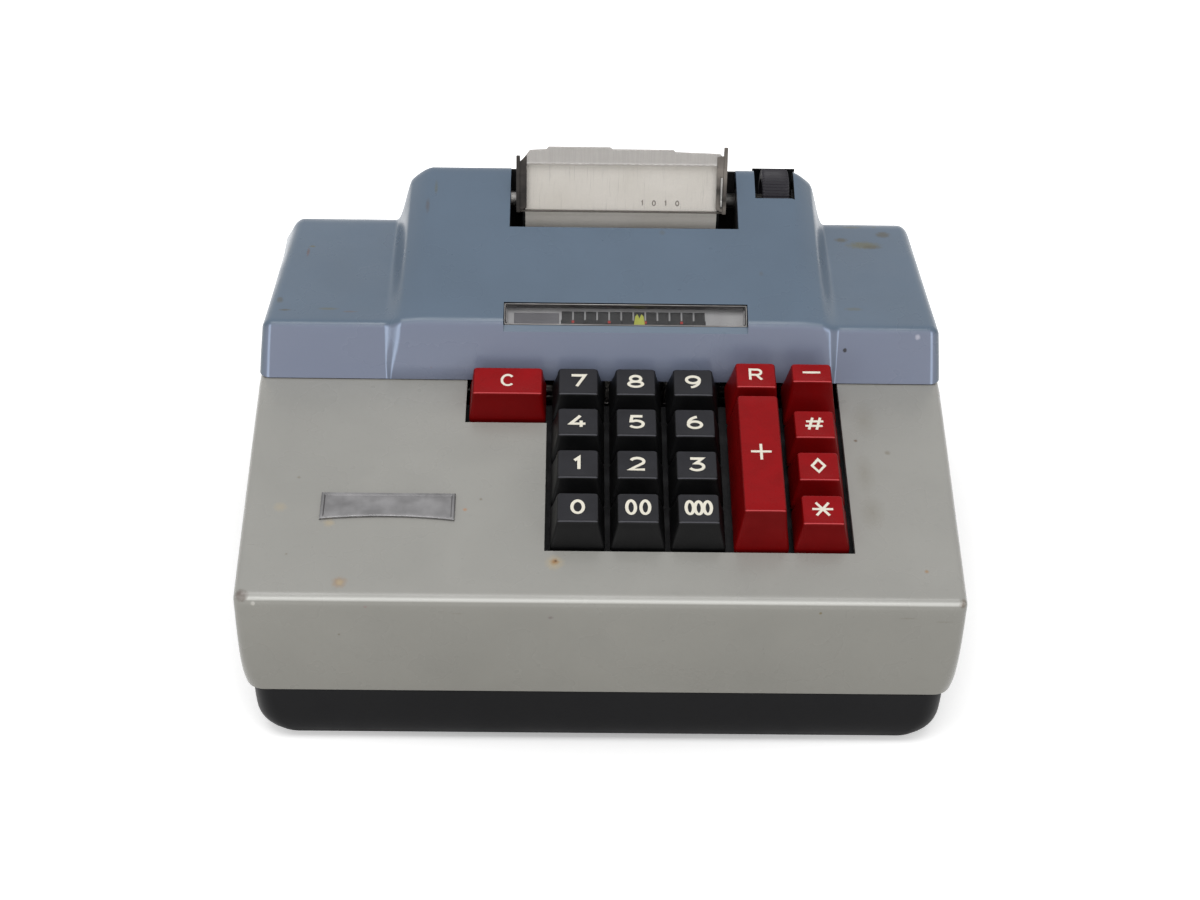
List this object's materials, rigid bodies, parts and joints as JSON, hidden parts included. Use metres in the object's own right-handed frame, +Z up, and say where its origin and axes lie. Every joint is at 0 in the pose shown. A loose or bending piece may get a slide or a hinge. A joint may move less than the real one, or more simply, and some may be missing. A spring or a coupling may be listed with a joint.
{
  "type": "adding machine",
  "caption": "Ten-key printing adding machine with a sloping keyboard, a raised tower with platen and paper roll, a tear shield, a column indicator and a thumbwheel.",
  "frame": {"origin": "middle of the case on the surface it stands on", "axes": "+X to the right of the keyboard, +Y to the back, +Z up"},
  "size_m": [0.2416, 0.228, 0.1413],
  "materials": {
    "pan_paint": "satin near-black paint on sheet steel",
    "case_paint": "fine satin warm grey paint",
    "cover_paint": "satin grey-blue paint",
    "key_black": "moulded charcoal plastic, worn to a soft sheen",
    "key_red": "moulded red plastic, worn to a soft sheen",
    "steel": "plain bright steel",
    "dark_steel": "dark phosphated sheet steel",
    "brass": "turned brass",
    "badge_metal": "bare cast plate",
    "bezel_metal": "thin bright frame",
    "clear_plastic": "clear acrylic, slightly hazed",
    "scale_print": "matt black strip with light divisions",
    "pointer_paint": "yellow-green paint",
    "inlet_plastic": "black phenolic moulding",
    "wheel_plastic": "ribbed dark plastic",
    "platen_rubber": "firm black rubber",
    "rubber": "soft black rubber",
    "paper": "plain off-white paper, whose fibre is wood",
    "ribbon_cloth": "inked woven ribbon"
  },
  "bodies": {
    "case": {"base_pan": "pan_paint", "rubber_feet": "rubber", "lower_housing": "case_paint", "rear_cover": "cover_paint", "case_screws": "steel", "badge_plate": "badge_metal", "power_inlet": "inlet_plastic", "inlet_pins": "brass", "window_bezel": "bezel_metal", "window_lens": "clear_plastic", "indicator_scale": "scale_print", "key_guide_upper": "dark_steel", "key_guide_lower": "dark_steel", "key_springs": "steel", "frame_left": "dark_steel", "frame_right": "dark_steel", "cross_bars": "steel", "carriage_rails": "steel", "paper_guide": "steel", "paper_strip": "paper", "roll_spindle": "steel", "roll_holder": "dark_steel", "type_bar_guide": "dark_steel", "motor": "dark_steel", "ribbon": "ribbon_cloth"},
    "key_0": {"key_0": "key_black"},
    "key_00": {"key_00": "key_black"},
    "key_000": {"key_000": "key_black"},
    "key_1": {"key_1": "key_black"},
    "key_2": {"key_2": "key_black"},
    "key_3": {"key_3": "key_black"},
    "key_4": {"key_4": "key_black"},
    "key_5": {"key_5": "key_black"},
    "key_6": {"key_6": "key_black"},
    "key_7": {"key_7": "key_black"},
    "key_8": {"key_8": "key_black"},
    "key_9": {"key_9": "key_black"},
    "key_clear": {"key_clear": "key_red"},
    "key_repeat": {"key_repeat": "key_red"},
    "key_minus": {"key_minus": "key_red"},
    "key_plus": {"key_plus": "key_red"},
    "key_hash": {"key_hash": "key_red"},
    "key_diamond": {"key_diamond": "key_red"},
    "key_star": {"key_star": "key_red"},
    "platen": {"platen_shaft": "steel", "platen_roller": "platen_rubber", "platen_ratchet": "steel", "thumbwheel": "wheel_plastic"},
    "pressure_rollers": {"pressure_rollers": "platen_rubber"},
    "paper_roll": {"paper_roll": "paper"},
    "shield": {"tear_shield": "clear_plastic", "shield_arms": "steel"},
    "carriage": {"pin_carriage": "steel", "indicator_pointer": "pointer_paint"},
    "type_bars": {"type_bars": "steel"},
    "register_wheels": {"register_wheels": "brass"},
    "main_shaft": {"main_shaft": "steel"},
    "motor_pinion": {"motor_pinion": "brass"},
    "ribbon_spool_left": {"ribbon_spool_left": "dark_steel"},
    "ribbon_spool_right": {"ribbon_spool_right": "dark_steel"}
  },
  "joints": [
    {"name": "key_0_press", "type": "slide", "parent": "case", "child": "key_0", "axis": [0, 0.1599, -0.9871], "range_m": [0, 0.004], "stiffness_N_per_m": 130, "springref_m": -0.003},
    {"name": "key_00_press", "type": "slide", "parent": "case", "child": "key_00", "axis": [0, 0.1599, -0.9871], "range_m": [0, 0.004], "stiffness_N_per_m": 130, "springref_m": -0.003},
    {"name": "key_000_press", "type": "slide", "parent": "case", "child": "key_000", "axis": [0, 0.1599, -0.9871], "range_m": [0, 0.004], "stiffness_N_per_m": 130, "springref_m": -0.003},
    {"name": "key_1_press", "type": "slide", "parent": "case", "child": "key_1", "axis": [0, 0.1599, -0.9871], "range_m": [0, 0.004], "stiffness_N_per_m": 130, "springref_m": -0.003},
    {"name": "key_2_press", "type": "slide", "parent": "case", "child": "key_2", "axis": [0, 0.1599, -0.9871], "range_m": [0, 0.004], "stiffness_N_per_m": 130, "springref_m": -0.003},
    {"name": "key_3_press", "type": "slide", "parent": "case", "child": "key_3", "axis": [0, 0.1599, -0.9871], "range_m": [0, 0.004], "stiffness_N_per_m": 130, "springref_m": -0.003},
    {"name": "key_4_press", "type": "slide", "parent": "case", "child": "key_4", "axis": [0, 0.1599, -0.9871], "range_m": [0, 0.004], "stiffness_N_per_m": 130, "springref_m": -0.003},
    {"name": "key_5_press", "type": "slide", "parent": "case", "child": "key_5", "axis": [0, 0.1599, -0.9871], "range_m": [0, 0.004], "stiffness_N_per_m": 130, "springref_m": -0.003},
    {"name": "key_6_press", "type": "slide", "parent": "case", "child": "key_6", "axis": [0, 0.1599, -0.9871], "range_m": [0, 0.004], "stiffness_N_per_m": 130, "springref_m": -0.003},
    {"name": "key_7_press", "type": "slide", "parent": "case", "child": "key_7", "axis": [0, 0.1599, -0.9871], "range_m": [0, 0.004], "stiffness_N_per_m": 130, "springref_m": -0.003},
    {"name": "key_8_press", "type": "slide", "parent": "case", "child": "key_8", "axis": [0, 0.1599, -0.9871], "range_m": [0, 0.004], "stiffness_N_per_m": 130, "springref_m": -0.003},
    {"name": "key_9_press", "type": "slide", "parent": "case", "child": "key_9", "axis": [0, 0.1599, -0.9871], "range_m": [0, 0.004], "stiffness_N_per_m": 130, "springref_m": -0.003},
    {"name": "key_clear_press", "type": "slide", "parent": "case", "child": "key_clear", "axis": [0, 0.1599, -0.9871], "range_m": [0, 0.004], "stiffness_N_per_m": 130, "springref_m": -0.003},
    {"name": "key_repeat_press", "type": "slide", "parent": "case", "child": "key_repeat", "axis": [0, 0.1599, -0.9871], "range_m": [0, 0.004], "stiffness_N_per_m": 130, "springref_m": -0.003},
    {"name": "key_minus_press", "type": "slide", "parent": "case", "child": "key_minus", "axis": [0, 0.1599, -0.9871], "range_m": [0, 0.004], "stiffness_N_per_m": 130, "springref_m": -0.003},
    {"name": "key_plus_press", "type": "slide", "parent": "case", "child": "key_plus", "axis": [0, 0.1599, -0.9871], "range_m": [0, 0.004], "stiffness_N_per_m": 260, "springref_m": -0.003, "deforming": ["key_springs"]},
    {"name": "key_hash_press", "type": "slide", "parent": "case", "child": "key_hash", "axis": [0, 0.1599, -0.9871], "range_m": [0, 0.004], "stiffness_N_per_m": 130, "springref_m": -0.003},
    {"name": "key_diamond_press", "type": "slide", "parent": "case", "child": "key_diamond", "axis": [0, 0.1599, -0.9871], "range_m": [0, 0.004], "stiffness_N_per_m": 130, "springref_m": -0.003},
    {"name": "key_star_press", "type": "slide", "parent": "case", "child": "key_star", "axis": [0, 0.1599, -0.9871], "range_m": [0, 0.004], "stiffness_N_per_m": 130, "springref_m": -0.003},
    {"name": "platen_turn", "type": "hinge", "parent": "case", "child": "platen", "pos_m": [0, 0.059, 0.1135], "axis": [1, 0, 0], "continuous": true},
    {"name": "pressure_roller_turn", "type": "hinge", "parent": "case", "child": "pressure_rollers", "pos_m": [0, 0.05586, 0.09567], "axis": [1, 0, 0], "continuous": true},
    {"name": "paper_roll_turn", "type": "hinge", "parent": "case", "child": "paper_roll", "pos_m": [0, 0.088, 0.08], "axis": [1, 0, 0], "continuous": true},
    {"name": "shield_swing", "type": "hinge", "parent": "case", "child": "shield", "pos_m": [0, 0.059, 0.1135], "axis": [1, 0, 0], "range_deg": [0, 30]},
    {"name": "carriage_slide", "type": "slide", "parent": "case", "child": "carriage", "axis": [1, 0, 0], "range_m": [-0.02562, 0.02135]},
    {"name": "type_bar_lift", "type": "slide", "parent": "case", "child": "type_bars", "axis": [0, 0, 1], "range_m": [0, 0.0115]},
    {"name": "register_turn", "type": "hinge", "parent": "case", "child": "register_wheels", "pos_m": [0, 0.02634, 0.062], "axis": [1, 0, 0], "continuous": true},
    {"name": "main_shaft_turn", "type": "hinge", "parent": "case", "child": "main_shaft", "pos_m": [0, 0.00921, 0.03585], "axis": [1, 0, 0], "continuous": true},
    {"name": "motor_turn", "type": "hinge", "parent": "case", "child": "motor_pinion", "pos_m": [0, 0.032, 0.028], "axis": [1, 0, 0], "continuous": true},
    {"name": "ribbon_left_turn", "type": "hinge", "parent": "case", "child": "ribbon_spool_left", "pos_m": [-0.0487, 0.036, 0.1], "axis": [0, 0, 1], "continuous": true},
    {"name": "ribbon_right_turn", "type": "hinge", "parent": "case", "child": "ribbon_spool_right", "pos_m": [0.0563, 0.036, 0.1], "axis": [0, 0, 1], "continuous": true}
  ],
  "couplings": [
    {"joint": "pressure_roller_turn", "follows": "platen_turn", "ratio": -3.425},
    {"joint": "paper_roll_turn", "follows": "platen_turn", "ratio": -0.571},
    {"joint": "motor_turn", "follows": "main_shaft_turn", "ratio": -4},
    {"joint": "ribbon_right_turn", "follows": "ribbon_left_turn", "ratio": 1}
  ]
}
